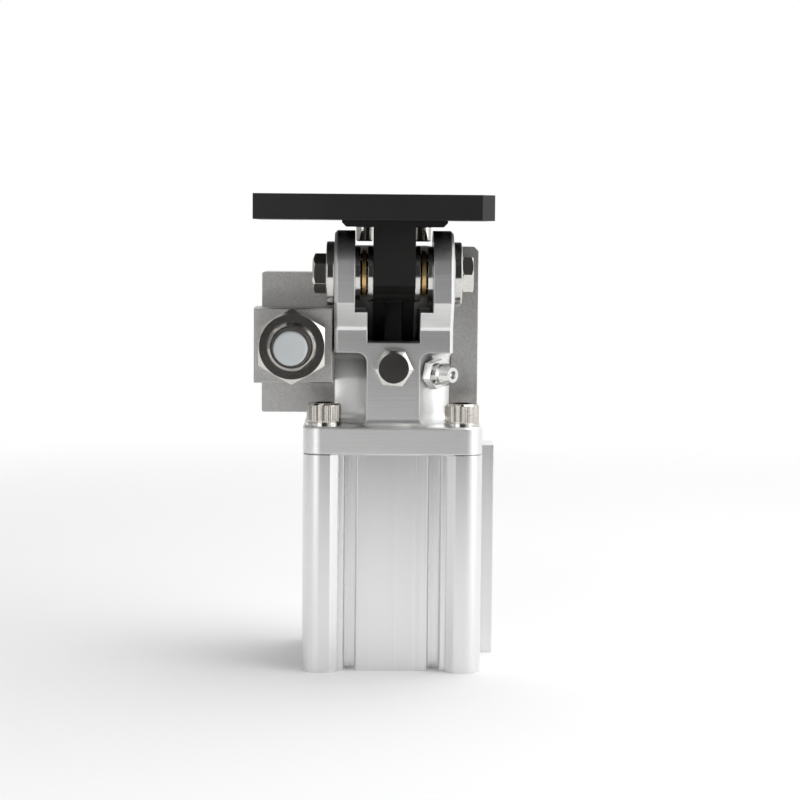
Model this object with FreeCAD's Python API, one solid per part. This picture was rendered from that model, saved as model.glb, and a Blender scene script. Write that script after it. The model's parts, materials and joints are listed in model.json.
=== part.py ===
"""Lever actuator: a square compact cylinder whose rod tilts a hinged tool plate through a crank.

Millimetres, +Z up. The origin is the centre of the body's base face. -Y is the front,
where the hinge stands proud, and the shock absorber is on the -X side.
"""
import FreeCAD, Part
import math
import os

from FreeCAD import Vector

# Cylinder body
bore_diameter = 40.0
body_wall = 6.0
body_height = 63.5
floor_thickness = 10.0
corner_radius = 5.0
bolt_inset = 6.0
post_width = 8.0
post_slope = 2.3
post_slope_depth = 2.0
panel_width = 21.2
panel_recess = 3.4
groove_width = 3.3
groove_web = 1.2
groove_edge = 0.4

# Port boss on the right side, with two threaded ports
boss_depth = 5.0
boss_front = 5.0
boss_width = 14.0
port_diameter = 8.56
port_depth = 9.0
port_from_end = 14.0
passage_diameter = 3.0
passage_inset = 0.5

# Bolts that stand the cap on the body, and tapped feet in the base
bolt_diameter = 6.0
bolt_head_diameter = 10.0
bolt_head_height = 5.5
bolt_socket = 5.0
bolt_grip = 16.0
bolt_clearance = 0.4
washer_thickness = 1.1
washer_diameter = 10.4
foot_hole_diameter = 5.0
foot_hole_depth = 14.0

# Cap with the clevis standing on it
cap_thickness = 8.1
cap_edge = 0.5
cap_seat_edge = 0.4
spigot_length = 4.0
spigot_clearance = 0.05
clevis_front = 23.5
clevis_back = 13.0
base_fillet = 2.0
pocket_radius = 12.8
pocket_height = 21.3
pocket_fillet = 2.8
front_rim_height = 24.2
slope_drop = 15.5
slope_fillet = 1.8
ear_flat_drop = 8.1
step_drop = 10.8
back_rise = 8.0

# Hinge, and the piston stroke that turns it by a quarter turn
stroke = 30.0
hinge_forward = 18.0
hinge_height = 43.9
ear_radius = 12.5
ear_thickness = 5.9
ear_bevel = 0.8
sleeve_diameter = 8.0
hinge_bolt_diameter = 6.0
hinge_hex = 10.0
hinge_head_height = 4.0
hinge_nut_height = 3.4
hinge_washer_diameter = 18.6
hinge_washer_thickness = 2.4
running_clearance = 0.05

# Thrust ball bearings between the lever and the ears
race_diameter = 16.0
race_thickness = 1.5
ball_gap = 2.2
ball_clearance = 0.02
ball_count = 9
cage_diameter = 13.8
cage_thickness = 1.2
cage_pocket_play = 0.1
cage_bore_room = 0.3

# Lever, its flange and the tool plate
lever_width = 12.0
lever_bush_wall = 1.5
hub_radius = 8.0
stem_front = 12.0
stem_back = 7.0
stem_heel = 3.1
flange_lift = 13.5
flange_thickness = 4.0
flange_half_width = 15.0
flange_front = 13.0
flange_back = 17.0
flange_bevel = 1.2
plate_lift = 15.4
plate_thickness = 7.1
plate_left = 39.5
plate_right = 27.6
plate_front = 27.0
plate_back = 27.0
plate_corner = 3.6
plate_fit = 0.1
plate_screw_offset = 8.6
plate_screw_back = 11.5
plate_screw_diameter = 3.0
plate_screw_head = 5.0
plate_screw_head_height = 3.4
plate_screw_socket = 2.5
plate_screw_washer = 0.8
plate_screw_cover = 1.0
tool_hole_diameter = 4.2
tool_hole_inset = 10.0

# Forked crank arm of the lever, crank pin and the rod end's tongue
arm_half_width = 5.5
tongue_thickness = 5.0
tongue_play = 0.25
tongue_half_depth = 9.0
tongue_above_pin = 6.5
head_below_pin = 6.0
shank_below_pin = 14.5
rod_end_below_pin = 22.5
crank_pin_diameter = 6.0
crank_slot_play = 0.8
slot_side_room = 1.6
cavity_back_room = 2.0
cavity_floor_room = 0.5

# Rod, guide bush, seal and piston
rod_diameter = 16.0
rod_spigot_diameter = 8.0
rod_spigot_length = 7.0
bush_diameter = 22.0
bush_end_room = 0.5
seal_height = 3.0
seal_room = 1.0
piston_thickness = 15.0
piston_clearance = 0.1
bumper_thickness = 1.5
bumper_room = 0.3
top_bumper_thickness = 2.0
top_bumper_gap = 1.5
bumper_width = 5.0
ring_depth = 2.5
seal_ring_width = 2.6
seal_ring_edge = 1.6
wear_ring_width = 2.0
magnet_width = 2.2
ring_land = 0.8
piston_bolt_diameter = 8.0
piston_bolt_head = 13.0
piston_bolt_head_height = 5.0
piston_bolt_length = 20.0
cap_ring_section = 2.0

# Bush lock bolt and grease nipple
lock_bolt_height = 17.1
lock_bolt_turn = -4.0
nipple_height = 14.6
nipple_thread = 6.0
nipple_end_room = 0.5
nipple_hex = 8.0
nipple_collar_diameter = 6.4
nipple_collar_end = 1.0
nipple_hex_end = 4.0
nipple_neck_diameter = 5.0
nipple_neck_end = 4.5
nipple_bulb_diameter = 6.6
nipple_bulb_start = 5.2
nipple_bulb_end = 6.4
nipple_tip_diameter = 4.4
nipple_length = 9.2
nipple_hole_diameter = 2.4
nipple_hole_depth = 1.6
nipple_ball_diameter = 1.8

# Shock absorber in its holder and bracket
shock_offset = 29.2
shock_drop = 20.8
shock_diameter = 14.0
shock_front = 29.5
shock_back = 34.0
shock_nut_hex = 19.0
shock_nut_height = 6.5
shock_cup_diameter = 10.8
shock_cup_depth = 2.0
shock_guide_length = 6.0
shock_bore_diameter = 10.0
shock_wrench_flats = 13.0
shock_flats_turn = 45.0
shock_end_wall = 3.0
plunger_diameter = 4.0
plunger_head_diameter = 9.0
plunger_head_length = 5.0
bumper_cap_diameter = 9.6
bumper_cap_length = 3.3
plunger_stroke = 5.0
plunger_gap = 0.4
spring_wire = 1.0
spring_diameter = 8.0
spring_turns = 8
holder_left = 40.3
holder_height = 21.7
holder_front = 21.5
bracket_left = 38.6
bracket_front = 7.5
bracket_back = 12.0
bracket_lift = 2.7
shock_hole_room = 0.3
holder_screw_diameter = 3.0
holder_screw_head = 5.5
holder_screw_socket = 2.5
holder_screw_side_inset = 3.1
holder_screw_end_inset = 2.5
holder_screw_reach = 8.0

# Side plate on the right, and the screws of both side pieces
side_plate_thickness = 7.9
side_plate_height = 51.8
side_plate_front = 8.0
side_plate_back = 12.0
side_plate_bevel = 1.2
side_screw_diameter = 5.0
side_screw_head = 8.5
side_screw_head_height = 5.0
side_screw_reach = 5.0
side_screw_socket = 4.0
side_screw_low = 8.5
side_screw_high = 37.0
side_screw_back = 2.0
head_room = 0.3
edge_break = 0.4

# Shapes shared by all the fasteners
hex_face_share = 0.99
bolt_face_share = 0.88
hex_chamfer_angle = 30.0
hex_point_up = 30.0
socket_share = 0.55
split_share = 0.16

# Places worked out from the sizes above
body_width = bore_diameter + 2 * body_wall
half = body_width / 2
bolt_place = half - bolt_inset
cap_bottom = body_height
cap_top = cap_bottom + cap_thickness
hinge_y = -hinge_forward
hinge_z = cap_top + hinge_height
slot_half = lever_width / 2 + 2 * race_thickness + ball_gap
clevis_half = slot_half + ear_thickness
narrow_half = lever_width / 2 + slot_side_room
crank_y = hinge_y + stroke / 2
crank_z = hinge_z - stroke / 2
crank_reach = stroke / math.sqrt(2)
head_bottom = crank_z - head_below_pin
cavity_floor = head_bottom - cavity_floor_room
rod_top = crank_z - rod_end_below_pin
shank_top = crank_z - shank_below_pin
bush_top = cavity_floor - bush_end_room
spigot_bottom = cap_bottom - spigot_length
seal_bottom = spigot_bottom + seal_room
bush_bottom = seal_bottom + seal_height
piston_bottom = floor_thickness + bumper_thickness + bumper_room
piston_top = piston_bottom + piston_thickness
shock_x = -shock_offset
shock_z = hinge_z - shock_drop
bumper_cap_front = hinge_forward + plate_lift + plunger_stroke - plunger_gap
bracket_bottom = cap_top + bracket_lift
bracket_top = hinge_z
bracket_depth = bracket_front + bracket_back

X_AXIS = Vector(1, 0, 0)
Y_AXIS = Vector(0, 1, 0)
Z_AXIS = Vector(0, 0, 1)


def block(x, y, z):
    """A box between two limits along each axis."""
    return Part.makeBox(x[1] - x[0], y[1] - y[0], z[1] - z[0], Vector(x[0], y[0], z[0]))


def round_bar(base, direction, length, diameter):
    return Part.makeCylinder(diameter / 2, length, Vector(*base), direction)


def ring(base, direction, length, outer, inner):
    return round_bar(base, direction, length, outer).cut(round_bar(base, direction, length, inner))


def side_prism(points, x_from, x_to):
    """A prism along X from an outline in Y and Z. An entry of four numbers is an arc."""
    edges = []
    here = points[0]
    for step in points[1:] + [points[0]]:
        start = Vector(x_from, here[0], here[1])
        if len(step) == 4:
            middle = Vector(x_from, step[0], step[1])
            end = Vector(x_from, step[2], step[3])
            edges.append(Part.Arc(start, middle, end).toShape())
            here = step[2:]
        else:
            edges.append(Part.makeLine(start, Vector(x_from, step[0], step[1])))
            here = step
    return Part.Face(Part.Wire(edges)).extrude(Vector(x_to - x_from, 0, 0))


def flat_prism(points, z_from, z_to):
    corners = [Vector(x, y, z_from) for x, y in points]
    return Part.Face(Part.makePolygon(corners + corners[:1])).extrude(Vector(0, 0, z_to - z_from))


def placed(shape, base, direction, turn=0.0):
    """A shape made along +Z, moved to a base point and pointed along a direction."""
    spin = FreeCAD.Rotation(Z_AXIS, turn)
    aim = FreeCAD.Rotation(Z_AXIS, direction)
    moved = shape.copy()
    moved.Placement = FreeCAD.Placement(Vector(*base), aim.multiply(spin)).multiply(shape.Placement)
    return moved


def hexagon(across_flats, height, z_from=0.0):
    radius = across_flats / math.sqrt(3)
    corners = [(radius * math.cos(math.radians(60 * i)), radius * math.sin(math.radians(60 * i)))
               for i in range(6)]
    return flat_prism(corners, z_from, z_from + height)


def chamfered_hexagon(across_flats, height, face_share=hex_face_share, both_ends=False):
    """A hexagon with the round chamfer of a bolt head on its outer end, or on both ends of a nut."""
    crown = across_flats / math.sqrt(3)
    rim = face_share * across_flats / 2
    slant = (crown - rim) * math.tan(math.radians(hex_chamfer_angle))
    outline = [(0, 0), (rim, 0), (crown, slant)] if both_ends else [(0, 0), (crown, 0)]
    outline += [(crown, height - slant), (rim, height), (0, height)]
    corners = [Vector(r, 0, z) for r, z in outline]
    turned = Part.Face(Part.makePolygon(corners + corners[:1])).revolve(Vector(0, 0, 0), Z_AXIS, 360)
    return hexagon(across_flats, height).common(turned)


def socket_screw(shank, length, head, head_height, socket):
    """A socket head screw along +Z with its seat at zero: the head above, the shank below."""
    top = Part.makeCylinder(head / 2, head_height)
    top = top.makeChamfer(edge_break, [e for e in top.Edges if e.BoundBox.ZMin > head_height - 0.01])
    screw = top.fuse(Part.makeCylinder(shank / 2, length, Vector(0, 0, -length)))
    return screw.cut(hexagon(socket, head_height, head_height * (1 - socket_share))).removeSplitter()


def spring_washer(outer, inner, thickness):
    """A split lock washer on the XY plane, with its cut facing +Y."""
    gap = inner * split_share / 2
    split = block((-gap, gap), (0, outer), (-thickness, 2 * thickness))
    return ring((0, 0, 0), Z_AXIS, thickness, outer, inner).cut(split)


def corners_of(reach):
    return [(sx * reach, sy * reach) for sx in (-1, 1) for sy in (-1, 1)]


def square_with_posts():
    """The extruded outline of the body: round posts, a recessed panel and two sensor grooves a side."""
    outline = block((-half, half), (-half, half), (0, body_height))
    uprights = [e for e in outline.Edges if abs(e.BoundBox.ZLength - body_height) < 0.01]
    outline = outline.makeFillet(corner_radius, uprights)
    post_inner = half - post_width
    panel = half - panel_recess
    groove_outer = panel_width / 2 + groove_width
    groove_floor = math.sqrt((bore_diameter / 2) ** 2 - (panel_width / 2) ** 2) + groove_web
    slope_end = post_inner - post_slope
    slope_foot = half - post_slope_depth
    recess = [(-post_inner, -half), (-slope_end, -slope_foot), (-slope_end, -panel),
              (slope_end, -panel), (slope_end, -slope_foot), (post_inner, -half)]
    front = flat_prism(recess, 0, body_height)
    lip = panel - groove_edge
    groove = [(panel_width / 2 - groove_edge, -panel), (panel_width / 2, -lip), (panel_width / 2, -groove_floor),
              (groove_outer, -groove_floor), (groove_outer, -lip), (groove_outer + groove_edge, -panel)]
    for side in (-1, 1):
        front = front.fuse(flat_prism([(side * x, y) for x, y in groove], 0, body_height))
    for turn in (0, 180, 270):
        cut = front.copy()
        cut.rotate(Vector(0, 0, 0), Z_AXIS, turn)
        outline = outline.cut(cut)
    return outline


def make_cylinder_body():
    body = square_with_posts()
    boss = block((0, half + boss_depth), (boss_front, boss_front + boss_width), (0, body_height))
    body = body.fuse(boss).removeSplitter()
    body = body.cut(round_bar((0, 0, floor_thickness), Z_AXIS, body_height, bore_diameter))
    port_y = boss_front + boss_width / 2
    for port_z, passage_z in port_heights():
        mouth = (half + boss_depth, port_y, port_z)
        body = body.cut(round_bar(mouth, -X_AXIS, port_depth, port_diameter))
        inner = (half + boss_depth - port_depth + 1, port_y, passage_z)
        body = body.cut(round_bar(inner, -X_AXIS, half, passage_diameter))
    for x, y in corners_of(bolt_place):
        body = body.cut(round_bar((x, y, body_height - bolt_grip), Z_AXIS, bolt_grip, bolt_diameter))
        body = body.cut(round_bar((x, y, 0), Z_AXIS, foot_hole_depth, foot_hole_diameter))
    return body


def port_heights():
    """Each port's centre, and the small passage from it into its end of the bore."""
    reach = (port_diameter - passage_diameter) / 2 - passage_inset
    low = port_from_end
    high = spigot_bottom - (port_from_end - floor_thickness)
    return [(low, low - reach), (high, high + reach)]


def pocket_cutter(x, y):
    """The round-edged milling that clears a cap bolt's head and the key above it."""
    cutter = round_bar((x, y, cap_top), Z_AXIS, pocket_height, 2 * pocket_radius)
    rims = [e for e in cutter.Edges if e.BoundBox.ZLength < 0.01]
    return cutter.makeFillet(pocket_fillet, rims)


def ear_point(angle):
    """A point on the ears' round top, at an angle from the back towards the top."""
    turn = math.radians(angle)
    return (hinge_y + ear_radius * math.cos(turn), hinge_z + ear_radius * math.sin(turn))


def slope_bend():
    """The hollow bend where the ears' slope meets the front below it: its start, then its arc."""
    rise = slope_drop - ear_flat_drop
    turn = math.atan2(ear_radius - hinge_y - clevis_front, rise)
    start = hinge_z - slope_drop - slope_fillet * math.tan(turn / 2)
    centre = -clevis_front - slope_fillet

    def bend_point(angle):
        return (centre + slope_fillet * math.cos(angle), start + slope_fillet * math.sin(angle))

    return [bend_point(0), bend_point(turn / 2) + bend_point(turn)]


def make_clevis_cap():
    cap = block((-half, half), (-half, half), (cap_bottom, cap_top))
    uprights = [e for e in cap.Edges if abs(e.BoundBox.ZLength - cap_thickness) < 0.01]
    cap = cap.makeFillet(corner_radius, uprights)
    cap = cap.makeChamfer(cap_edge, [e for e in cap.Edges if e.BoundBox.ZMin > cap_top - 0.01])
    cap = cap.makeChamfer(cap_seat_edge, [e for e in cap.Edges if e.BoundBox.ZMax < cap_bottom + 0.01])
    back_angle = math.degrees(math.asin(back_rise / ear_radius))
    back_corner = ear_point(back_angle)[0] + 0.01
    ears = [(-clevis_front, cap_top), *slope_bend(),
            (hinge_y - ear_radius, hinge_z - ear_flat_drop), (hinge_y - ear_radius, hinge_z),
            ear_point(90) + ear_point(back_angle),
            (clevis_back, hinge_z + back_rise), (clevis_back, cap_top)]
    clevis = side_prism(ears, -clevis_half, clevis_half)
    outer_rims = [e for e in clevis.Edges if e.BoundBox.XLength < 0.01 and e.BoundBox.YMax < back_corner
                  and e.BoundBox.ZMax > cap_top + base_fillet]
    clevis = clevis.makeChamfer(ear_bevel, outer_rims)
    bend = base_fillet * (1 - math.sqrt(0.5))
    skirt = [(-clevis_front - base_fillet, cap_top),
             (-clevis_front - bend, cap_top + bend, -clevis_front, cap_top + base_fillet),
             (-clevis_front, cap_top)]
    clevis = clevis.fuse(side_prism(skirt, -clevis_half, clevis_half))
    for x in (-bolt_place, bolt_place):
        clevis = clevis.cut(pocket_cutter(x, -bolt_place))
    part = cap.fuse(clevis).removeSplitter()
    spigot = round_bar((0, 0, spigot_bottom), Z_AXIS, spigot_length, bore_diameter - 2 * spigot_clearance)
    part = part.fuse(spigot)
    far = body_width + hinge_forward
    above = hinge_z + 2 * ear_radius
    back_reach = tongue_half_depth + cavity_back_room
    part = part.cut(block((-slot_half, slot_half), (-far, back_reach), (hinge_z - step_drop, above)))
    part = part.cut(block((-narrow_half, narrow_half), (-far, 0), (cap_top + front_rim_height, above)))
    part = part.cut(block((-narrow_half, narrow_half), (-back_reach, back_reach), (cavity_floor, above)))
    part = part.cut(round_bar((0, 0, bush_bottom), Z_AXIS, cavity_floor, bush_diameter)
                    .common(block((-far, far), (-far, far), (bush_bottom, cavity_floor))))
    rod_room = rod_diameter + 2 * head_room
    part = part.cut(round_bar((0, 0, cavity_floor), Z_AXIS, above - cavity_floor, rod_room))
    part = part.cut(round_bar((0, 0, seal_bottom), Z_AXIS, seal_height, bush_diameter))
    part = part.cut(round_bar((0, 0, spigot_bottom), Z_AXIS, seal_room, rod_diameter + 2 * bumper_room))
    part = part.cut(round_bar((-clevis_half, hinge_y, hinge_z), X_AXIS, 2 * clevis_half, sleeve_diameter))
    part = part.cut(cap_ring_groove())
    for x, y in corners_of(bolt_place):
        part = part.cut(round_bar((x, y, cap_bottom), Z_AXIS, cap_thickness, bolt_diameter + bolt_clearance))
    part = part.cut(lock_bolt_shank())
    part = part.cut(placed(nipple_thread_bar().fuse(nipple_spot_face()), nipple_seat(), nipple_direction()))
    for side, _ in side_pieces():
        for y, z in side_screw_places():
            face = (side * clevis_half, y, z)
            part = part.cut(round_bar(face, X_AXIS * -side, side_screw_reach, side_screw_diameter))
    return part.removeSplitter()


def cap_ring_groove():
    outer = bore_diameter - 2 * spigot_clearance
    middle = spigot_bottom + spigot_length / 2 - cap_ring_section / 2
    return ring((0, 0, middle), Z_AXIS, cap_ring_section, outer + 1, outer - 2 * cap_ring_section)


def make_cap_o_ring():
    outer = bore_diameter - 2 * spigot_clearance
    middle = spigot_bottom + spigot_length / 2
    return Part.makeTorus(outer / 2 - cap_ring_section / 2, cap_ring_section / 2, Vector(0, 0, middle))


def make_cap_screws():
    screw = socket_screw(bolt_diameter, cap_thickness + washer_thickness + bolt_grip, bolt_head_diameter,
                         bolt_head_height, bolt_socket)
    seat = cap_top + washer_thickness
    return Part.makeCompound([placed(screw, (x, y, seat), Z_AXIS) for x, y in corners_of(bolt_place)])


def make_cap_spring_washers():
    washer = spring_washer(washer_diameter, bolt_diameter + bolt_clearance, washer_thickness)
    return Part.makeCompound([placed(washer, (x, y, cap_top), Z_AXIS) for x, y in corners_of(bolt_place)])


def lock_bolt_shank():
    depth = clevis_front - bush_diameter / 2
    return round_bar((0, -clevis_front, cap_top + lock_bolt_height), Y_AXIS, depth, bolt_diameter)


def make_bush_lock_bolt():
    seat = (0, -clevis_front, cap_top + lock_bolt_height)
    head = chamfered_hexagon(hinge_hex, hinge_head_height, bolt_face_share)
    return placed(head, seat, -Y_AXIS, lock_bolt_turn).fuse(lock_bolt_shank())


def nipple_direction():
    return Vector(1, -1, 0)


def nipple_seat():
    """Where the pocket's round wall faces the bolt at 45 degrees."""
    reach = bolt_place - pocket_radius * math.sqrt(0.5)
    return (reach, -reach, cap_top + nipple_height)


def nipple_thread_bar():
    """The thread in the wall, which ends just short of the rod's bush."""
    seat = nipple_seat()
    length = math.hypot(seat[0], seat[1]) - bush_diameter / 2 - nipple_end_room
    return Part.makeCylinder(nipple_thread / 2, length, Vector(0, 0, -length))


def nipple_spot_face():
    """The flat that the nipple's collar needs in the round wall."""
    return Part.makeCylinder(nipple_collar_diameter / 2 + head_room, nipple_collar_end)


def make_grease_nipple():
    """A hexagon with a narrow neck and a round nose, with the valve ball in its drilled tip."""
    flats = hexagon(nipple_hex, nipple_hex_end - nipple_collar_end, nipple_collar_end)
    outline = [(0, 0), (nipple_collar_diameter, 0), (nipple_collar_diameter, nipple_collar_end),
               (nipple_neck_diameter, nipple_hex_end), (nipple_neck_diameter, nipple_neck_end),
               (nipple_bulb_diameter, nipple_bulb_start), (nipple_bulb_diameter, nipple_bulb_end),
               (nipple_tip_diameter, nipple_length), (0, nipple_length)]
    corners = [Vector(across / 2, 0, z) for across, z in outline]
    turned = Part.Face(Part.makePolygon(corners + corners[:1])).revolve(Vector(0, 0, 0), Z_AXIS, 360)
    nipple = turned.fuse(flats).fuse(nipple_thread_bar())
    tip = Vector(0, 0, nipple_length - nipple_hole_depth)
    nipple = nipple.cut(Part.makeCylinder(nipple_hole_diameter / 2, nipple_hole_depth, tip))
    nipple = nipple.fuse(Part.makeSphere(nipple_ball_diameter / 2, tip))
    return placed(nipple.removeSplitter(), nipple_seat(), nipple_direction())


def make_rod_bush():
    inner = rod_diameter + 2 * running_clearance
    return ring((0, 0, bush_bottom), Z_AXIS, bush_top - bush_bottom, bush_diameter, inner)


def make_rod_seal():
    inner = rod_diameter + 2 * running_clearance
    return ring((0, 0, seal_bottom), Z_AXIS, seal_height, bush_diameter, inner)


def make_bottom_bumper():
    outer = bore_diameter - 2 * bumper_width
    return ring((0, 0, floor_thickness), Z_AXIS, bumper_thickness, outer, outer - 2 * bumper_width)


def make_top_bumper():
    outer = bore_diameter - 2 * top_bumper_gap
    base = (0, 0, spigot_bottom - top_bumper_thickness)
    return ring(base, Z_AXIS, top_bumper_thickness, outer, outer - 2 * bumper_width)


def ring_places():
    """The piston's rings by name: height above the piston's foot, and width."""
    upper_seal = piston_thickness - seal_ring_edge - seal_ring_width
    return {"piston_seals": [(seal_ring_edge, seal_ring_width), (upper_seal, seal_ring_width)],
            "magnet_ring": [(seal_ring_edge + seal_ring_width + ring_land, magnet_width)],
            "wear_ring": [(upper_seal - ring_land - wear_ring_width, wear_ring_width)]}


def make_piston_ring(name):
    outer = bore_diameter - 2 * running_clearance
    inner = bore_diameter - 2 * piston_clearance - 2 * ring_depth
    rings = [ring((0, 0, piston_bottom + low), Z_AXIS, width, outer, inner)
             for low, width in ring_places()[name]]
    return rings[0] if len(rings) == 1 else Part.makeCompound(rings)


def piston_bolt():
    seat = piston_bottom + piston_bolt_head_height
    head = placed(hexagon(piston_bolt_head, piston_bolt_head_height), (0, 0, piston_bottom), Z_AXIS)
    return head.fuse(round_bar((0, 0, seat), Z_AXIS, piston_bolt_length, piston_bolt_diameter))


def make_piston():
    outer = bore_diameter - 2 * piston_clearance
    piston = round_bar((0, 0, piston_bottom), Z_AXIS, piston_thickness, outer)
    for places in ring_places().values():
        for low, width in places:
            foot = (0, 0, piston_bottom + low)
            piston = piston.cut(ring(foot, Z_AXIS, width, outer + 1, outer - 2 * ring_depth))
    return piston.cut(piston_bolt())


def make_piston_rod():
    rod = round_bar((0, 0, piston_top), Z_AXIS, rod_top - piston_top, rod_diameter)
    rod = rod.fuse(round_bar((0, 0, rod_top), Z_AXIS, rod_spigot_length, rod_spigot_diameter))
    return rod.cut(piston_bolt())


def make_rod_end():
    """A round shank on the rod with a flat tongue, whose slot lets the crank pin run front to back."""
    side = tongue_thickness / 2
    tongue = block((-side, side), (-tongue_half_depth, tongue_half_depth),
                   (head_bottom, crank_z + tongue_above_pin))
    neck = round_bar((0, 0, shank_top), Z_AXIS, head_bottom - shank_top, rod_diameter)
    neck = neck.common(block((-side, side), (-rod_diameter, rod_diameter), (shank_top, head_bottom)))
    shank = round_bar((0, 0, rod_top), Z_AXIS, shank_top - rod_top, rod_diameter)
    shank = shank.cut(round_bar((0, 0, rod_top), Z_AXIS, rod_spigot_length, rod_spigot_diameter))
    return shank.fuse(neck).fuse(tongue).cut(crank_slot()).removeSplitter()


def crank_slot():
    """The slot across the tongue, long enough for the pin's swing and a little taller than the pin."""
    height = crank_pin_diameter + 2 * crank_slot_play
    low = crank_y - crank_slot_play / 2
    high = hinge_y + crank_reach + crank_slot_play / 2
    slot = block((-lever_width, lever_width), (low, high), (crank_z - height / 2, crank_z + height / 2))
    for y in (low, high):
        slot = slot.fuse(round_bar((-lever_width, y, crank_z), X_AXIS, 2 * lever_width, height))
    return slot


def make_crank_pin():
    return round_bar((-lever_width / 2, crank_y, crank_z), X_AXIS, lever_width, crank_pin_diameter)


def hinge_bar(x_from, x_to, diameter):
    return round_bar((x_from, hinge_y, hinge_z), X_AXIS, x_to - x_from, diameter)


def make_lever():
    side = lever_width / 2
    under = hinge_z + flange_lift
    stem = [(hinge_y - stem_front, hinge_z - stem_heel), (hinge_y - stem_front, under),
            (hinge_y + stem_back, under), (hinge_y + stem_back, hinge_z),
            (hinge_y, hinge_z - hub_radius)]
    lever = side_prism(stem, -side, side).fuse(hinge_bar(-side, side, 2 * hub_radius))
    tilt = arm_half_width * math.sqrt(0.5)
    arm = [(hinge_y - tilt, hinge_z - tilt), (hinge_y + tilt, hinge_z + tilt),
           (crank_y + tilt, crank_z + tilt),
           (crank_y + tilt, crank_z - tilt, crank_y - tilt, crank_z - tilt)]
    gap = tongue_thickness / 2 + tongue_play
    for inner, outer in ((-side, -gap), (gap, side)):
        lever = lever.fuse(side_prism(arm, inner, outer))
    lever = lever.fuse(make_flange())
    lever = lever.cut(hinge_bar(-side, side, sleeve_diameter + 2 * running_clearance + 2 * lever_bush_wall))
    lever = lever.cut(make_crank_pin())
    for x in plate_screw_places():
        hole = (x, hinge_y + plate_screw_back, under)
        lever = lever.cut(round_bar(hole, Z_AXIS, flange_thickness, plate_screw_diameter + bolt_clearance))
    return lever.removeSplitter()


def make_flange():
    """The lever's foot, let into the plate's underside, with its lower side edges bevelled."""
    low = hinge_z + flange_lift
    high = low + flange_thickness
    foot = block((-flange_half_width, flange_half_width),
                 (hinge_y - flange_front, hinge_y + flange_back), (low, high))
    sides = [e for e in foot.Edges if e.BoundBox.XLength < 0.01 and e.BoundBox.ZMax < low + 0.01]
    return foot.makeChamfer(flange_bevel, sides)


def plate_screw_places():
    return (-plate_screw_offset, plate_screw_offset)


def make_tool_plate():
    low = hinge_z + plate_lift
    high = low + plate_thickness
    front = hinge_y - plate_front
    back = hinge_y + plate_back
    outline = [(-plate_left, front), (plate_right - plate_corner, front), (plate_right, front + plate_corner),
               (plate_right, back), (-plate_left, back)]
    plate = flat_prism(outline, low, high)
    seat = flange_half_width + plate_fit
    plate = plate.cut(block((-seat, seat),
                            (hinge_y - flange_front - plate_fit, hinge_y + flange_back + plate_fit),
                            (low, hinge_z + flange_lift + flange_thickness)))
    for x in plate_screw_places():
        hole = (x, hinge_y + plate_screw_back, low)
        plate = plate.cut(round_bar(hole, Z_AXIS, plate_thickness - plate_screw_cover, plate_screw_diameter))
    for x in (-plate_left + tool_hole_inset, plate_right - tool_hole_inset):
        for y in (front + tool_hole_inset, back - tool_hole_inset):
            plate = plate.cut(round_bar((x, y, low), Z_AXIS, plate_thickness, tool_hole_diameter))
    return plate


def make_plate_screws():
    length = plate_lift + plate_thickness - plate_screw_cover - flange_lift + plate_screw_washer
    screw = socket_screw(plate_screw_diameter, length, plate_screw_head, plate_screw_head_height,
                         plate_screw_socket)
    seat = hinge_z + flange_lift - plate_screw_washer
    places = [(x, hinge_y + plate_screw_back, seat) for x in plate_screw_places()]
    return Part.makeCompound([placed(screw, place, -Z_AXIS) for place in places])


def make_plate_spring_washers():
    washer = spring_washer(plate_screw_head, plate_screw_diameter + bolt_clearance, plate_screw_washer)
    seat = hinge_z + flange_lift - plate_screw_washer
    places = [(x, hinge_y + plate_screw_back, seat) for x in plate_screw_places()]
    return Part.makeCompound([placed(washer, place, Z_AXIS) for place in places])


def make_lever_bush():
    outer = sleeve_diameter + 2 * running_clearance + 2 * lever_bush_wall
    inner = sleeve_diameter + 2 * running_clearance
    side = lever_width / 2
    return hinge_bar(-side, side, outer).cut(hinge_bar(-side, side, inner))


def make_hinge_sleeve():
    return hinge_bar(-clevis_half, clevis_half, sleeve_diameter).cut(
        hinge_bar(-clevis_half, clevis_half, hinge_bolt_diameter))


def make_hinge_washers():
    outer_face = clevis_half + hinge_washer_thickness
    washers = []
    for low, high in ((-outer_face, -clevis_half), (clevis_half, outer_face)):
        disc = hinge_bar(low, high, hinge_washer_diameter)
        rims = [e for e in disc.Edges if e.BoundBox.XLength < 0.01]
        disc = disc.makeFillet(edge_break, rims)
        washers.append(disc.cut(hinge_bar(low, high, hinge_bolt_diameter)))
    return Part.makeCompound(washers)


def make_hinge_bolt():
    outer_face = clevis_half + hinge_washer_thickness
    head = chamfered_hexagon(hinge_hex, hinge_head_height, bolt_face_share)
    head = placed(head, (-outer_face, hinge_y, hinge_z), -X_AXIS)
    return head.fuse(hinge_bar(-outer_face, outer_face + hinge_nut_height, hinge_bolt_diameter))


def make_hinge_nut():
    outer_face = clevis_half + hinge_washer_thickness
    nut = chamfered_hexagon(hinge_hex, hinge_nut_height, both_ends=True)
    nut = placed(nut, (outer_face, hinge_y, hinge_z), X_AXIS, hex_point_up)
    return nut.cut(hinge_bar(outer_face, outer_face + hinge_nut_height, hinge_bolt_diameter))


def race_pair(inner_face):
    """One bearing race on each side of the lever, starting at a distance from the middle."""
    races = []
    inner = sleeve_diameter + 2 * running_clearance
    for side in (-1, 1):
        low, high = sorted((side * inner_face, side * (inner_face + race_thickness)))
        races.append(hinge_bar(low, high, race_diameter).cut(hinge_bar(low, high, inner)))
    return Part.makeCompound(races)


def make_thrust_races_lever():
    return race_pair(lever_width / 2)


def make_thrust_races_fixed():
    return race_pair(lever_width / 2 + race_thickness + ball_gap)


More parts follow.
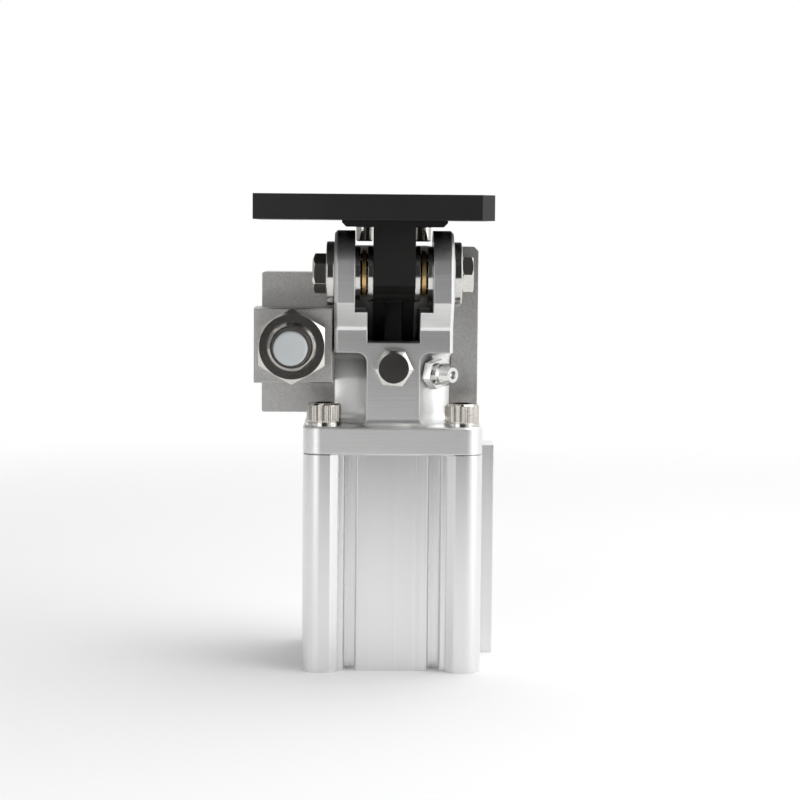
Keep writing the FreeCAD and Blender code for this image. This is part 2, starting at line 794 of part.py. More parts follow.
def ball_places():
    radius = (sleeve_diameter + cage_diameter) / 4
    middle = lever_width / 2 + race_thickness + ball_gap / 2
    for side in (-1, 1):
        for i in range(ball_count):
            turn = 2 * math.pi * i / ball_count
            yield Vector(side * middle, hinge_y + radius * math.cos(turn), hinge_z + radius * math.sin(turn))


def make_thrust_balls():
    radius = ball_gap / 2 - ball_clearance
    return Part.makeCompound([Part.makeSphere(radius, place) for place in ball_places()])


def make_ball_cages():
    inner = sleeve_diameter + 2 * cage_bore_room
    middle = lever_width / 2 + race_thickness + ball_gap / 2
    cages = []
    for side in (-1, 1):
        low = side * middle - cage_thickness / 2
        cage = hinge_bar(low, low + cage_thickness, cage_diameter).cut(
            hinge_bar(low, low + cage_thickness, inner))
        for place in ball_places():
            if place.x * side > 0:
                hole = (low, place.y, place.z)
                cage = cage.cut(round_bar(hole, X_AXIS, cage_thickness, ball_gap + 2 * cage_pocket_play))
        cages.append(cage)
    return Part.makeCompound(cages)


def side_pieces():
    """The two pieces bolted to the clevis: which side, and how thick from the clevis outwards."""
    return ((-1, bracket_left - clevis_half), (1, side_plate_thickness))


def side_screw_places():
    return [(side_screw_back, cap_top + side_screw_low), (side_screw_back, cap_top + side_screw_high)]


def side_screw_cut(side, thickness):
    """The clearance holes and head counterbores of the screws through one side piece."""
    cut = None
    for y, z in side_screw_places():
        outer = side * (clevis_half + thickness)
        hole = round_bar((outer, y, z), X_AXIS * -side, thickness, side_screw_diameter + bolt_clearance)
        head = round_bar((outer, y, z), X_AXIS * -side, side_screw_head_height + head_room,
                         side_screw_head + 2 * head_room)
        cut = hole.fuse(head) if cut is None else cut.fuse(hole).fuse(head)
    return cut


def make_side_screws(side, thickness):
    length = thickness - side_screw_head_height - head_room + side_screw_reach
    screw = socket_screw(side_screw_diameter, length, side_screw_head, side_screw_head_height,
                         side_screw_socket)
    seat = side * (clevis_half + thickness - side_screw_head_height - head_room)
    return Part.makeCompound([placed(screw, (seat, y, z), X_AXIS * side) for y, z in side_screw_places()])


def shock_bar(y_from, y_to, diameter):
    return round_bar((shock_x, y_from, shock_z), Y_AXIS, y_to - y_from, diameter)


def holder_limits():
    """The holder's X and Z limits, centred on the shock absorber's height."""
    rise = holder_height / 2
    return (-holder_left, -clevis_half - head_room), (shock_z - rise, shock_z + rise)


def holder_screw_places():
    """Two screws from behind, on the side of the shock absorber that is next to the clevis."""
    across, up = holder_limits()
    x = across[1] - holder_screw_side_inset
    return [(x, up[0] + holder_screw_end_inset), (x, up[1] - holder_screw_end_inset)]


def make_shock_bracket():
    bracket = block((-bracket_left, -clevis_half), (-bracket_front, bracket_back),
                    (bracket_bottom, bracket_top))
    long_edges = [e for e in bracket.Edges if e.BoundBox.YLength > bracket_back]
    bracket = bracket.makeChamfer(edge_break, [e for e in long_edges if e.BoundBox.XMax < -clevis_half - 1])
    bracket = bracket.cut(shock_bar(-bracket_front, bracket_back, shock_diameter + 2 * shock_hole_room))
    bracket = bracket.cut(side_screw_cut(*side_pieces()[0]))
    for x, z in holder_screw_places():
        back = (x, bracket_back, z)
        bracket = bracket.cut(round_bar(back, -Y_AXIS, bracket_depth, holder_screw_diameter + bolt_clearance))
        bracket = bracket.cut(round_bar(back, -Y_AXIS, holder_screw_diameter + head_room,
                                        holder_screw_head + 2 * head_room))
    return bracket


def make_shock_holder():
    across, up = holder_limits()
    holder = block(across, (-holder_front, -bracket_front), up)
    front_edges = [e for e in holder.Edges if e.BoundBox.YMax < -holder_front + 0.01]
    holder = holder.makeChamfer(edge_break, front_edges)
    holder = holder.cut(shock_bar(-holder_front, -bracket_front, shock_diameter))
    for x, z in holder_screw_places():
        hole = (x, -bracket_front, z)
        holder = holder.cut(round_bar(hole, -Y_AXIS, holder_screw_reach, holder_screw_diameter))
    return holder


def make_holder_screws():
    length = bracket_depth - holder_screw_diameter - head_room + holder_screw_reach
    screw = socket_screw(holder_screw_diameter, length, holder_screw_head, holder_screw_diameter,
                         holder_screw_socket)
    seat = bracket_back - holder_screw_diameter - head_room
    return Part.makeCompound([placed(screw, (x, seat, z), Y_AXIS) for x, z in holder_screw_places()])


def shock_chamber():
    """Where the shock absorber's inner chamber starts and ends along Y."""
    return -shock_front + shock_cup_depth + shock_guide_length, shock_back - shock_end_wall


def wrench_flats():
    """What is milled off both sides of the tube's front end, down to the nut's face."""
    depth = shock_front - holder_front - shock_nut_height
    around = block((-shock_diameter, shock_diameter), (-shock_diameter, shock_diameter), (0, depth))
    half_flats = shock_wrench_flats / 2
    kept = block((-half_flats, half_flats), (-shock_diameter, shock_diameter), (0, depth))
    return placed(around.cut(kept), (shock_x, -shock_front, shock_z), Y_AXIS, shock_flats_turn)


def make_shock_body():
    tube = shock_bar(-shock_front, shock_back, shock_diameter)
    rims = [e for e in tube.Edges if e.BoundBox.YLength < 0.01]
    tube = tube.makeChamfer(2 * edge_break, rims)
    tube = tube.cut(wrench_flats())
    tube = tube.cut(shock_bar(-shock_front, -shock_front + shock_cup_depth, shock_cup_diameter))
    tube = tube.cut(shock_bar(-shock_front, 0, plunger_diameter + 2 * running_clearance))
    front, back = shock_chamber()
    return tube.cut(shock_bar(front, back, shock_bore_diameter))


def make_shock_nut():
    nut = chamfered_hexagon(shock_nut_hex, shock_nut_height)
    nut = placed(nut, (shock_x, -holder_front, shock_z), -Y_AXIS, hex_point_up)
    return nut.cut(shock_bar(-holder_front - shock_nut_height, -holder_front, shock_diameter))


def make_plunger_rod():
    front, _ = shock_chamber()
    neck = -bumper_cap_front + bumper_cap_length
    head_start = front + running_clearance
    rod = shock_bar(neck, head_start + plunger_head_length, plunger_diameter)
    return rod.fuse(shock_bar(head_start, head_start + plunger_head_length, plunger_head_diameter))


def make_plunger_cap():
    cap = shock_bar(-bumper_cap_front, -bumper_cap_front + bumper_cap_length, bumper_cap_diameter)
    rims = [e for e in cap.Edges if e.BoundBox.YMax < -bumper_cap_front + 0.01]
    return cap.makeFillet(2 * edge_break, rims)


def make_shock_spring():
    """The plunger's return spring, joined from single turns of wire."""
    front, back = shock_chamber()
    start = front + running_clearance + plunger_head_length + spring_wire
    rise = (back - start - spring_wire) / spring_turns
    path = Part.makeHelix(rise, rise, (spring_diameter - spring_wire) / 2)
    first = path.Edges[0].valueAt(path.Edges[0].FirstParameter)
    along = path.Edges[0].tangentAt(path.Edges[0].FirstParameter)
    section = Part.Wire(Part.makeCircle(spring_wire / 2, first, along))
    turn = Part.Wire(path).makePipeShell([section], True, True)
    coil = turn.copy()
    for i in range(1, spring_turns):
        coil = coil.fuse(turn.translated(Vector(0, 0, i * rise)))
    return placed(coil, (shock_x, start, shock_z), Y_AXIS)


def make_side_plate():
    outer = clevis_half + side_plate_thickness
    top = cap_top + side_plate_height
    plate = block((clevis_half, outer), (-side_plate_front, side_plate_back), (cap_top, top))
    corner = [e for e in plate.Edges if e.BoundBox.XMin > outer - 0.01 and e.BoundBox.ZMin > top - 0.01]
    plate = plate.makeChamfer(side_plate_bevel, corner)
    return plate.cut(side_screw_cut(*side_pieces()[1]))


NODES = {
    "cylinder_body": make_cylinder_body,
    "clevis_cap": make_clevis_cap,
    "cap_screws": make_cap_screws,
    "cap_spring_washers": make_cap_spring_washers,
    "cap_o_ring": make_cap_o_ring,
    "rod_bush": make_rod_bush,
    "rod_seal": make_rod_seal,
    "bottom_bumper": make_bottom_bumper,
    "top_bumper": make_top_bumper,
    "bush_lock_bolt": make_bush_lock_bolt,
    "grease_nipple": make_grease_nipple,
    "piston": make_piston,
    "piston_seals": lambda: make_piston_ring("piston_seals"),
    "wear_ring": lambda: make_piston_ring("wear_ring"),
    "magnet_ring": lambda: make_piston_ring("magnet_ring"),
    "piston_bolt": piston_bolt,
    "piston_rod": make_piston_rod,
    "rod_end": make_rod_end,
    "crank_pin": make_crank_pin,
    "lever": make_lever,
    "lever_bush": make_lever_bush,
    "tool_plate": make_tool_plate,
    "plate_screws": make_plate_screws,
    "plate_spring_washers": make_plate_spring_washers,
    "hinge_sleeve": make_hinge_sleeve,
    "hinge_bolt": make_hinge_bolt,
    "hinge_nut": make_hinge_nut,
    "hinge_washers": make_hinge_washers,
    "thrust_races_lever": make_thrust_races_lever,
    "thrust_races_fixed": make_thrust_races_fixed,
    "ball_cages": make_ball_cages,
    "thrust_balls": make_thrust_balls,
    "shock_bracket": make_shock_bracket,
    "bracket_screws": lambda: make_side_screws(*side_pieces()[0]),
    "shock_holder": make_shock_holder,
    "holder_screws": make_holder_screws,
    "shock_body": make_shock_body,
    "shock_nut": make_shock_nut,
    "shock_spring": make_shock_spring,
    "plunger_rod": make_plunger_rod,
    "plunger_cap": make_plunger_cap,
    "side_plate": make_side_plate,
    "side_plate_screws": lambda: make_side_screws(*side_pieces()[1]),
}

os.makedirs("parts", exist_ok=True)
for node, make in NODES.items():
    shape = make()
    shape.exportStep("parts/" + node + ".step")
    state = "valid" if shape.isValid() else "INVALID"
    print(node, len(shape.Solids), "solids", round(shape.Volume, 1), "mm3", state)
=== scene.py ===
"""Looks of the tilting lever actuator: materials, knurled screws, thread, spring, studio and camera."""
import json
import math

import bmesh
import bpy
from mathutils import Matrix, Vector


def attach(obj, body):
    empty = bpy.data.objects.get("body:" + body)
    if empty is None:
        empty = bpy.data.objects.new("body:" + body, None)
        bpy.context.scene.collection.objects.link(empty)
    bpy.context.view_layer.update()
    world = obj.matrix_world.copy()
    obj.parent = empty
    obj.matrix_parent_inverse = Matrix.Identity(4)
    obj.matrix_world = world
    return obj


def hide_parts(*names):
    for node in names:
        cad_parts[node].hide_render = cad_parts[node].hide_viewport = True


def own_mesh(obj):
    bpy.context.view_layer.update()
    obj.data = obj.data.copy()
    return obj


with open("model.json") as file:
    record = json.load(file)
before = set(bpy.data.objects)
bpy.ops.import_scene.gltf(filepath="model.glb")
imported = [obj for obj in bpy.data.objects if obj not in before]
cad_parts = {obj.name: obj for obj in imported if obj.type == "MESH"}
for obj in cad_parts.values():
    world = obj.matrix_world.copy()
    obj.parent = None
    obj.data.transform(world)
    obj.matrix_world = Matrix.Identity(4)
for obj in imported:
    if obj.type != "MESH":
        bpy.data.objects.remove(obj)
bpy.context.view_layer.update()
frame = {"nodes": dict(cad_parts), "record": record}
nodes = frame["nodes"]
MM = 0.001

# The photograph's camera, found from the body's edges
camera_distance = 620 * MM
camera_side = 2.4 * MM
camera_height = 128.6 * MM
camera_yaw = math.radians(-1.06)
camera_pitch = math.radians(4.72)
camera_roll = math.radians(0.5)
camera_near = 10 * MM
focal_pixels = 2077
image_pixels = 800
sensor_mm = 36.0

# Paper sheet, in metres
sheet_front = 0.5
sheet_back = 0.9
sheet_bend = 0.6
sheet_bend_steps = 24
sheet_top = 2.0
sheet_left = -0.7
sheet_right = 2.5

# The paper's colour and glow, from near the object to far from it. Near the object the colour is painted
# darker, more on the left than on the right: painted shade
near_distance = 0.15
far_distance = 0.65
near_left_paper_painted_shade = 0.86
near_right_paper_painted_shade = 0.94
far_paper = 1.0
near_glow = 0.05
far_glow = 1.0
painted_shade_fade_half_width = 0.14

# World: a dark room behind the camera, where the turn from straight behind the object is largest
room_light = 0.04
left_light = 0.36
right_light = 0.92
room_edge = math.radians(168.5)
studio_edge = math.radians(138.6)

# Softboxes: places and sizes in metres
softbox_target = (0, 0, 0.07)
softboxes = {
    "right_softbox": dict(place=(0.70, -0.38, 0.35), width=0.46, height=0.8, watts=1.8),
    "left_softbox": dict(place=(-0.36, -0.71, 0.30), width=0.4, height=0.7, watts=1.2),
    "top_softbox": dict(place=(0.22, 0.1, 0.85), width=0.9, height=0.9, watts=4.9),
}

# Grain of the surfaces
noise_low = 0.3
noise_high = 0.7
grain_detail = 4.0
grain_depth = 0.05 * MM
cloud_detail = 2.0
metal_cloud_scale = 60
coat_cloud_scale = 80
evenly = (1, 1, 1)
along_z = (1, 1, 0.002)
along_x = (0.02, 1, 1)
soft_edge = 0.25 * MM

# Painted shade in recesses, from ambient occlusion: how closed in a place is where the painted shade is
# darkest, how open it is where there is none, and how dark the painted shade gets
painted_shade_closed = 0.05
painted_shade_open = 0.45
painted_shade_darkest = 0.05

# Cap screws, as in the CAD part
cap_top = 71.6 * MM
screw_place = 20 * MM
screw_washer = 1.1 * MM
screw_head_radius = 5 * MM
screw_head_height = 5.5 * MM
screw_chamfer = 0.5 * MM
screw_socket = 5 * MM
screw_socket_depth = 3.025 * MM
screw_radius = 3 * MM
screw_bottom = 47.5 * MM
knurl_ridges = 60
knurl_depth = 0.05 * MM
knurl_from_top = 0.7 * MM

# Shock absorber's threaded tube, as in the CAD part
tube_x = -29.2 * MM
tube_z = 94.7 * MM
tube_front = -29.5 * MM
tube_back = 34.0 * MM
tube_radius = 7.0 * MM
tube_cup_radius = 5.4 * MM
tube_cup_depth = 2.0 * MM
tube_hole_radius = 2.1 * MM
tube_edge = 0.8 * MM
tube_points = 64
flats_end = -28.0 * MM
flats_half = 6.5 * MM
flats_turn = math.radians(135)
thread_pitch = 1.0 * MM
thread_depth = 0.45 * MM
thread_steps = 6


def new_material(name):
    """A procedural material, its node tree and its shader."""
    material = bpy.data.materials.new(name)
    material.use_nodes = True
    tree = material.node_tree
    return material, tree, tree.nodes["Principled BSDF"]


def feed(tree, entry, value):
    """Give a node's input a plain number, or another node's output."""
    if isinstance(value, (int, float)):
        entry.default_value = value
    else:
        tree.links.new(value, entry)


def ranged(tree, value, from_min, from_max, to_min, to_max, smooth=False):
    """A value carried from one range to another and held at its ends."""
    node = tree.nodes.new("ShaderNodeMapRange")
    node.interpolation_type = "SMOOTHSTEP" if smooth else "LINEAR"
    feed(tree, node.inputs["Value"], value)
    feed(tree, node.inputs["From Min"], from_min)
    feed(tree, node.inputs["From Max"], from_max)
    feed(tree, node.inputs["To Min"], to_min)
    feed(tree, node.inputs["To Max"], to_max)
    return node.outputs["Result"]


def combine(tree, operation, *values):
    """One step of arithmetic on the outputs of other nodes."""
    node = tree.nodes.new("ShaderNodeMath")
    node.operation = operation
    for entry, value in zip(node.inputs, values):
        tree.links.new(value, entry)
    return node.outputs["Value"]


def coordinates(tree, kind):
    """The X, Y and Z of one kind of texture coordinate."""
    source = tree.nodes.new("ShaderNodeTexCoord")
    split = tree.nodes.new("ShaderNodeSeparateXYZ")
    tree.links.new(source.outputs[kind], split.inputs["Vector"])
    return split.outputs


def distance_out(tree):
    """How far a point is from the middle of the object's base."""
    source = tree.nodes.new("ShaderNodeTexCoord")
    length = tree.nodes.new("ShaderNodeVectorMath")
    length.operation = "LENGTH"
    tree.links.new(source.outputs["Object"], length.inputs["Vector"])
    return length.outputs["Value"]


def stretched_noise(tree, scale, stretch, detail):
    """Noise in the part's own coordinates, drawn out along an axis where a stretch is small."""
    source = tree.nodes.new("ShaderNodeTexCoord")
    mapping = tree.nodes.new("ShaderNodeMapping")
    mapping.inputs["Scale"].default_value = stretch
    noise = tree.nodes.new("ShaderNodeTexNoise")
    noise.inputs["Scale"].default_value = scale
    noise.inputs["Detail"].default_value = detail
    tree.links.new(source.outputs["Object"], mapping.inputs["Vector"])
    tree.links.new(mapping.outputs["Vector"], noise.inputs["Vector"])
    return noise.outputs["Fac"]


def two_colours(tree, noise, first, second):
    """A colour that runs between two with the noise."""
    ramp = tree.nodes.new("ShaderNodeValToRGB")
    low, high = ramp.color_ramp.elements
    low.position = noise_low
    low.color = (*first, 1)
    high.position = noise_high
    high.color = (*second, 1)
    tree.links.new(noise, ramp.inputs["Fac"])
    return ramp.outputs["Color"]


def painted_recess_shade(tree, colour, reach):
    """A colour with painted shade: darkened deep in recesses by ambient occlusion."""
    recess = tree.nodes.new("ShaderNodeAmbientOcclusion")
    recess.inputs["Distance"].default_value = reach
    unshaded_share = ranged(tree, recess.outputs["AO"], painted_shade_closed, painted_shade_open, painted_shade_darkest, 1.0)
    scaled = tree.nodes.new("ShaderNodeVectorMath")
    scaled.operation = "SCALE"
    tree.links.new(colour, scaled.inputs["Vector"])
    tree.links.new(unshaded_share, scaled.inputs["Scale"])
    return scaled.outputs["Vector"]


def rounded_bump(tree, shader, height, strength, edge):
    """Surface relief over edges that the shader rounds a little, so that they catch the light."""
    bump = tree.nodes.new("ShaderNodeBump")
    bump.inputs["Strength"].default_value = strength
    bump.inputs["Distance"].default_value = grain_depth
    tree.links.new(height, bump.inputs["Height"])
    if edge:
        bevel = tree.nodes.new("ShaderNodeBevel")
        bevel.inputs["Radius"].default_value = edge
        tree.links.new(bevel.outputs["Normal"], bump.inputs["Normal"])
    tree.links.new(bump.outputs["Normal"], shader.inputs["Normal"])


def metal(name, colour, shade, roughness, grain, stretch=evenly, relief=0.15, edge=soft_edge, painted_shade_reach=0.0):
    """A bare metal: its grain shows in the colour and the relief, and broad clouds in the gloss."""
    material, tree, shader = new_material(name)
    shader.inputs["Metallic"].default_value = 1.0
    fine = stretched_noise(tree, grain, stretch, grain_detail)
    broad = stretched_noise(tree, metal_cloud_scale, stretch, cloud_detail)
    mixed = two_colours(tree, fine, colour, shade)
    # painted shade: the colour darkens in recesses within this reach
    if painted_shade_reach:
        mixed = painted_recess_shade(tree, mixed, painted_shade_reach)
    tree.links.new(mixed, shader.inputs["Base Color"])
    tree.links.new(ranged(tree, broad, noise_low, noise_high, *roughness), shader.inputs["Roughness"])
    rounded_bump(tree, shader, fine, relief, edge)
    return material


def coated(name, colour, shade, roughness, grain, relief=0.2, specular=0.5, edge=soft_edge):
    """Paint, plastic or rubber: its grain shows in the gloss and the relief, and clouds in the colour."""
    material, tree, shader = new_material(name)
    shader.inputs["Specular IOR Level"].default_value = specular
    fine = stretched_noise(tree, grain, evenly, grain_detail)
    broad = stretched_noise(tree, coat_cloud_scale, evenly, cloud_detail)
    tree.links.new(two_colours(tree, broad, colour, shade), shader.inputs["Base Color"])
    tree.links.new(ranged(tree, fine, noise_low, noise_high, *roughness), shader.inputs["Roughness"])
    rounded_bump(tree, shader, fine, relief, edge)
    return material


def make_materials():
    """One material for each slot of the record."""
    metals = {
        "anodised_body": dict(colour=(0.86, 0.86, 0.86), shade=(0.82, 0.82, 0.825), roughness=(0.25, 0.30),
                              grain=2500, stretch=along_z, relief=0.05, edge=0.35 * MM),
        # the cap's colour holds painted shade in its slot and pockets, within 12 mm
        "machined_cap": dict(colour=(0.89, 0.89, 0.885), shade=(0.82, 0.82, 0.815), roughness=(0.28, 0.35),
                             grain=3000, stretch=along_x, relief=0.12, edge=0.4 * MM, painted_shade_reach=12 * MM),
        "side_block": dict(colour=(0.62, 0.615, 0.60), shade=(0.50, 0.495, 0.485), roughness=(0.36, 0.46),
                           grain=1800, relief=0.4),
        "inner_aluminium": dict(colour=(0.75, 0.75, 0.75), shade=(0.68, 0.68, 0.68), roughness=(0.3, 0.4),
                                grain=2500),
        "nickel_screws": dict(colour=(0.66, 0.63, 0.58), shade=(0.56, 0.53, 0.49), roughness=(0.07, 0.13),
                              grain=2000, edge=0.0),
        "nickel_washers": dict(colour=(0.72, 0.71, 0.69), shade=(0.62, 0.61, 0.59), roughness=(0.07, 0.14),
                               grain=2000),
        "nickel_hex": dict(colour=(0.78, 0.76, 0.72), shade=(0.66, 0.64, 0.60), roughness=(0.09, 0.16),
                           grain=1800),
        "polished_nipple": dict(colour=(0.84, 0.84, 0.83), shade=(0.78, 0.78, 0.77), roughness=(0.07, 0.14),
                                grain=1500),
        # the races' colour holds painted shade in their recesses, within 6 mm
        "bearing_steel": dict(colour=(0.72, 0.71, 0.69), shade=(0.64, 0.63, 0.61), roughness=(0.10, 0.18),
                              grain=1800, painted_shade_reach=6 * MM),
        "brass_cage": dict(colour=(0.72, 0.50, 0.22), shade=(0.62, 0.41, 0.16), roughness=(0.25, 0.38),
                           grain=1500),
        "bronze_bush": dict(colour=(0.60, 0.40, 0.19), shade=(0.50, 0.32, 0.15), roughness=(0.35, 0.5),
                            grain=2500),
        "chromed_rod": dict(colour=(0.80, 0.80, 0.81), shade=(0.75, 0.75, 0.76), roughness=(0.06, 0.12),
                            grain=2500, stretch=along_z),
        "shock_steel": dict(colour=(0.54, 0.515, 0.495), shade=(0.45, 0.43, 0.41), roughness=(0.10, 0.20),
                            grain=2000),
        "spring_steel": dict(colour=(0.48, 0.48, 0.48), shade=(0.40, 0.40, 0.40), roughness=(0.25, 0.35),
                             grain=2000),
    }
    coats = {
        "black_lever": dict(colour=(0.006, 0.0057, 0.0055), shade=(0.010, 0.0095, 0.009),
                            roughness=(0.42, 0.55), grain=2500, specular=0.3, edge=0.0),
        "black_plate": dict(colour=(0.006, 0.0058, 0.0055), shade=(0.009, 0.0087, 0.0083),
                            roughness=(0.32, 0.42), grain=2200, specular=0.6),
        "black_rubber": dict(colour=(0.012, 0.012, 0.012), shade=(0.02, 0.02, 0.02), roughness=(0.6, 0.75),
                             grain=2500),
        "wear_plastic": dict(colour=(0.30, 0.19, 0.10), shade=(0.36, 0.24, 0.13), roughness=(0.5, 0.65),
                             grain=2000),
        "magnet": dict(colour=(0.03, 0.03, 0.033), shade=(0.05, 0.05, 0.052), roughness=(0.5, 0.65),
                       grain=2000),
        "white_cap": dict(colour=(0.56, 0.59, 0.60), shade=(0.52, 0.55, 0.56), roughness=(0.3, 0.42),
                          grain=1500, relief=0.05),
    }
    made = {name: metal(name, **look) for name, look in metals.items()}
    made.update({name: coated(name, **look) for name, look in coats.items()})
    return made


def dress_nodes(materials):
    """Give each CAD node the material of its slot."""
    for part in frame["record"]["subparts"]:
        mesh = nodes[part["node"]].data
        mesh.materials.clear()
        mesh.materials.append(materials[part["material_slot"]])


def piece_from(name, mesh, body, slot, materials, *replaced):
    """A finished mesh as a piece that rides on a body, in place of CAD nodes."""
    piece = bpy.data.objects.new(name, mesh)
    bpy.context.scene.collection.objects.link(piece)
    mesh.materials.clear()
    mesh.materials.append(materials[slot])
    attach(piece, body)
    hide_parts(*replaced)
    return piece


def finished_mesh(name, build):
    """The mesh that was built, under its name."""
    mesh = bpy.data.meshes.new(name)
    build.to_mesh(mesh)
    build.free()
    return mesh


def join_rings(build, rings):
    """Faces from each ring of points to the next."""
    for low, high in zip(rings, rings[1:]):
        count = len(low)
        for i in range(count):
            j = (i + 1) % count
            build.faces.new((low[i], low[j], high[j], high[i]))


def ring_of(build, centre, radius, z, count, ridge=0.0):
    """A level ring of points. With a ridge, every second pair of points steps inwards."""
    points = []
    for i in range(count):
        turn = 2 * math.pi * i / count
        reach = radius - (ridge if i % 4 in (2, 3) else 0.0)
        x = centre[0] + reach * math.cos(turn)
        y = centre[1] + reach * math.sin(turn)
        points.append(build.verts.new((x, y, z)))
    return points


def hexagon_of(build, centre, across, z, count):
    """Points round a level hexagon, one on each ray that a ring of the same count has."""
    points = []
    for i in range(count):
        turn = 2 * math.pi * i / count
        from_flat = (turn % (math.pi / 3)) - math.pi / 6
        reach = across / 2 / math.cos(from_flat)
        x = centre[0] + reach * math.cos(turn)
        y = centre[1] + reach * math.sin(turn)
        points.append(build.verts.new((x, y, z)))
    return points


def add_cap_screw(build, centre):
    """One screw from its shank's end up over the knurled head and down into the hexagon socket."""
    count = 4 * knurl_ridges
    seat = cap_top + screw_washer
    top = seat + screw_head_height
    inner = screw_head_radius - knurl_depth
    rings = [ring_of(build, centre, screw_radius, screw_bottom, count),
             ring_of(build, centre, screw_radius, seat, count),
             ring_of(build, centre, inner, seat, count),
             ring_of(build, centre, screw_head_radius, seat + screw_chamfer, count, knurl_depth),
             ring_of(build, centre, screw_head_radius, top - knurl_from_top, count, knurl_depth),
             ring_of(build, centre, inner, top - screw_chamfer, count),
             ring_of(build, centre, inner - screw_chamfer, top, count),
             hexagon_of(build, centre, screw_socket, top, count),
             hexagon_of(build, centre, screw_socket, top - screw_socket_depth, count)]
    join_rings(build, rings)
    build.faces.new(rings[-1])
    build.faces.new(list(reversed(rings[0])))


def make_cap_screws(materials):
    """The cap's four socket screws, with knurled heads."""
    build = bmesh.new()
    for x in (-screw_place, screw_place):
        for y in (-screw_place, screw_place):
            add_cap_screw(build, (x, y))
    mesh = finished_mesh("knurled_cap_screws", build)
    piece_from("knurled_cap_screws", mesh, "housing", "nickel_screws", materials, "cap_screws")


def thread_radius(y, turn):
    """The tube's outside at a place along it: a V thread, bevelled ends and two wrench flats in front."""
    phase = (y / thread_pitch - turn / (2 * math.pi)) % 1.0
    groove = thread_depth * abs(2 * phase - 1)
    from_end = min(y - tube_front, tube_back - y)
    bevel = max(0.0, tube_edge - from_end)
    across = abs(math.cos(turn - flats_turn))
    on_flat = y < flats_end and across > flats_half / tube_radius
    flat = flats_half / across if on_flat else tube_radius
    return min(tube_radius - groove, tube_radius - bevel, flat)


def tube_ring(build, y, radius_at):
    """A ring of points round the tube's axis, with a radius for each turn."""
    points = []
    for i in range(tube_points):
        turn = 2 * math.pi * i / tube_points
        reach = radius_at(turn)
        place = (tube_x + reach * math.cos(turn), y, tube_z + reach * math.sin(turn))
        points.append(build.verts.new(place))
    return points


def make_threaded_tube(materials):
    """The shock absorber's tube with its thread, front cup and guide hole."""
    build = bmesh.new()
    cup = tube_front + tube_cup_depth
    rings = [tube_ring(build, cup, lambda turn: tube_hole_radius),
             tube_ring(build, cup, lambda turn: tube_cup_radius),
             tube_ring(build, tube_front, lambda turn: tube_cup_radius)]
    steps = int((tube_back - tube_front) / thread_pitch * thread_steps)
    for i in range(steps + 1):
        y = tube_front + (tube_back - tube_front) * i / steps
        rings.append(tube_ring(build, y, lambda turn: thread_radius(y, turn)))
    join_rings(build, rings)
    build.faces.new(rings[0])
    build.faces.new(list(reversed(rings[-1])))
    bmesh.ops.recalc_face_normals(build, faces=build.faces)
    mesh = finished_mesh("threaded_tube", build)
    piece_from("threaded_tube", mesh, "housing", "shock_steel", materials, "shock_body")


def make_coil_spring(materials):
    """The shock absorber's spring, on a mesh of its own."""
    mesh = nodes["shock_spring"].data.copy()
    spring = piece_from("coil_spring", mesh, "housing", "spring_steel", materials, "shock_spring")
    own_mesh(spring)


def paper_material():
    """White paper that takes shadows, and glows where the camera or a reflection looks at it. Near the
    object its colour is painted darker, more on the left: painted shade.
    """
    material, tree, shader = new_material("backdrop")
    tree.nodes.remove(shader)
    across = coordinates(tree, "Object")["X"]
    away = distance_out(tree)
    # painted shade near the object: darker on the left than on the right, fading out far away
    left = ranged(tree, away, near_distance, far_distance, near_left_paper_painted_shade, far_paper)
    right = ranged(tree, away, near_distance, far_distance, near_right_paper_painted_shade, far_paper)
    colour = ranged(tree, across, -painted_shade_fade_half_width, painted_shade_fade_half_width, left, right)
    paper = tree.nodes.new("ShaderNodeBsdfDiffuse")
    tree.links.new(colour, paper.inputs["Color"])
    white = tree.nodes.new("ShaderNodeEmission")
    tree.links.new(colour, white.inputs["Color"])
    path = tree.nodes.new("ShaderNodeLightPath")
    seen = combine(tree, "MAXIMUM", path.outputs["Is Camera Ray"], path.outputs["Is Glossy Ray"])
    seen = combine(tree, "MAXIMUM", seen, path.outputs["Is Transmission Ray"])
    glow = ranged(tree, away, near_distance, far_distance, near_glow, far_glow, smooth=True)
    mix = tree.nodes.new("ShaderNodeMixShader")
    tree.links.new(combine(tree, "MULTIPLY", seen, glow), mix.inputs["Fac"])
    tree.links.new(paper.outputs["BSDF"], mix.inputs[1])
    tree.links.new(white.outputs["Emission"], mix.inputs[2])
    tree.links.new(mix.outputs["Shader"], tree.nodes["Material Output"].inputs["Surface"])
    return material


def make_backdrop():
    """A paper sheet that bends up behind the object and ends in front of it, short of the dark room."""
    profile = [(-sheet_front, 0.0)]
    for i in range(sheet_bend_steps + 1):
        turn = math.pi / 2 * i / sheet_bend_steps
        profile.append((sheet_back + sheet_bend * math.sin(turn), sheet_bend * (1 - math.cos(turn))))
    profile.append((sheet_back + sheet_bend, sheet_top))
    points = [(x, y, z) for y, z in profile for x in (sheet_left, sheet_right)]
    strips = [(2 * i, 2 * i + 1, 2 * i + 3, 2 * i + 2) for i in range(len(profile) - 1)]
    mesh = bpy.data.meshes.new("backdrop")
    mesh.from_pydata(points, [], strips)
    mesh.shade_smooth()
    mesh.materials.append(paper_material())
    backdrop = bpy.data.objects.new("backdrop", mesh)
    bpy.context.scene.collection.objects.link(backdrop)


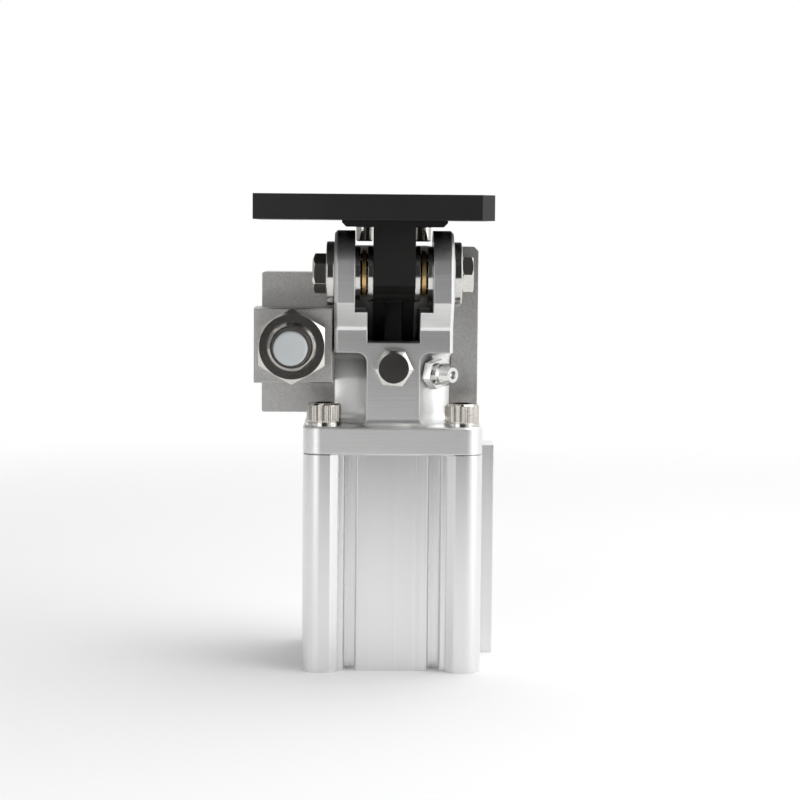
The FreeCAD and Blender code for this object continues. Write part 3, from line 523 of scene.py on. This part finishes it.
def make_world():
    """White for the camera. For light and reflections, a studio with a dark room behind the camera."""
    world = bpy.data.worlds.new("studio")
    bpy.context.scene.world = world
    world.use_nodes = True
    tree = world.node_tree
    toward = coordinates(tree, "Generated")
    sides = ranged(tree, toward["X"], -1, 1, left_light, right_light)
    turn = combine(tree, "ABSOLUTE", combine(tree, "ARCTAN2", toward["X"], toward["Y"]))
    light = ranged(tree, turn, room_edge, studio_edge, room_light, sides, smooth=True)
    path = tree.nodes.new("ShaderNodeLightPath")
    level = combine(tree, "MAXIMUM", light, path.outputs["Is Camera Ray"])
    tree.links.new(level, tree.nodes["Background"].inputs["Color"])


def add_softbox(name, place, width, height, watts):
    """A rectangular lamp that faces the object."""
    data = bpy.data.lights.new(name, "AREA")
    data.shape = "RECTANGLE"
    data.size = width
    data.size_y = height
    data.energy = watts
    lamp = bpy.data.objects.new(name, data)
    bpy.context.scene.collection.objects.link(lamp)
    lamp.location = place
    lamp.rotation_euler = (Vector(softbox_target) - Vector(place)).to_track_quat("-Z", "Y").to_euler()


def make_camera():
    """The photograph's camera, turned round the object by its yaw, then tilted down and rolled."""
    right = Vector((math.cos(camera_yaw), math.sin(camera_yaw), 0))
    level = Vector((-math.sin(camera_yaw), math.cos(camera_yaw), 0))
    up = Vector((0, 0, 1))
    place = camera_side * right - camera_distance * level + camera_height * up
    look = math.cos(camera_pitch) * level - math.sin(camera_pitch) * up
    top = math.cos(camera_pitch) * up + math.sin(camera_pitch) * level
    across = math.cos(camera_roll) * right + math.sin(camera_roll) * top
    upright = math.cos(camera_roll) * top - math.sin(camera_roll) * right
    data = bpy.data.cameras.new("camera")
    data.sensor_width = sensor_mm
    data.lens = sensor_mm * focal_pixels / image_pixels
    data.clip_start = camera_near
    camera = bpy.data.objects.new("camera", data)
    bpy.context.scene.collection.objects.link(camera)
    turn = Matrix((across, upright, -look)).transposed().to_4x4()
    camera.matrix_world = Matrix.Translation(place) @ turn
    bpy.context.scene.camera = camera


materials = make_materials()
dress_nodes(materials)
make_cap_screws(materials)
make_threaded_tube(materials)
make_coil_spring(materials)
make_backdrop()
make_world()
for name, box in softboxes.items():
    add_softbox(name, **box)
make_camera()
bpy.context.scene.view_settings.view_transform = "Standard"
